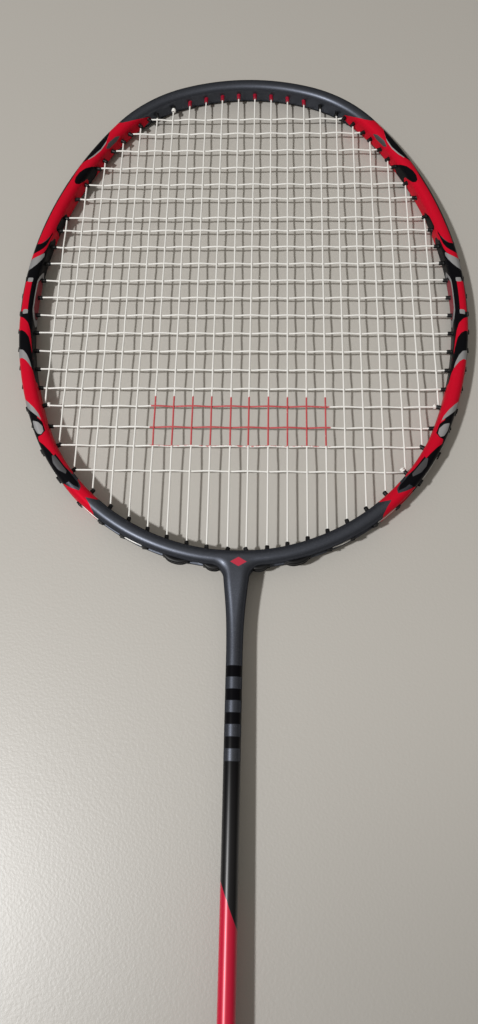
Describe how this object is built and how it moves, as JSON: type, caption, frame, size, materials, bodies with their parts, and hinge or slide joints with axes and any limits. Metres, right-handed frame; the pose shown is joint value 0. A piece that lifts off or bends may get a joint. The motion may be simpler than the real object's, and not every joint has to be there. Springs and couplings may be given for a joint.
{
  "type": "badminton racket",
  "caption": "Light racket with an oval strung head, a slim straight shaft, a small cone and an eight-sided wrapped handle.",
  "frame": {"origin": "centre of the butt's end face", "axes": "+Y from the butt to the top of the head, along the shaft; +Z square to the string plane, out of the front face; +X to the right, in the string plane"},
  "size_m": [0.2088, 0.6754, 0.0274],
  "materials": {
    "frame_lacquer": "clear-coated metallic graphite paint with red, black and silver flashes over carbon laminate",
    "shaft_lacquer": "clear-coated paint over carbon tube: graphite, then black, then crimson",
    "foam": "light closed-cell foam",
    "insert_resin": "moulded carbon-filled resin",
    "cone_plastic": "moulded, satin gloss",
    "handle_wood": "sanded, unvarnished",
    "cap_plastic": "moulded, fine texture",
    "badge_film": "plain printed disc",
    "grip_polyurethane": "soft polyurethane tape, perforated",
    "finishing_film": "vinyl tape",
    "staple_wire": "zinc-plated wire",
    "string_nylon": "braided multifilament, white",
    "red_grommet": "moulded nylon, red",
    "black_grommet": "moulded nylon, black"
  },
  "bodies": {
    "root": {"butt_badge": "badge_film", "butt_cap": "cap_plastic", "cone": "cone_plastic", "finishing_tape": "finishing_film", "grip_staple": "staple_wire", "grip_tape": "grip_polyurethane", "grommet_strip_left_1": "black_grommet", "grommet_strip_left_2": "black_grommet", "grommet_strip_right_1": "black_grommet", "grommet_strip_right_2": "black_grommet", "grommets_lower_left": "black_grommet", "grommets_lower_right": "black_grommet", "grommets_side_left": "black_grommet", "grommets_side_right": "black_grommet", "grommets_top_centre": "red_grommet", "grommets_upper_left": "black_grommet", "grommets_upper_right": "black_grommet", "handle_core": "handle_wood", "head_foam_core": "foam", "head_frame": "frame_lacquer", "shaft": "shaft_lacquer", "string_crosses": "string_nylon", "string_knots": "string_nylon", "string_mains": "string_nylon", "t_joint_insert": "insert_resin"}
  },
  "joints": []
}
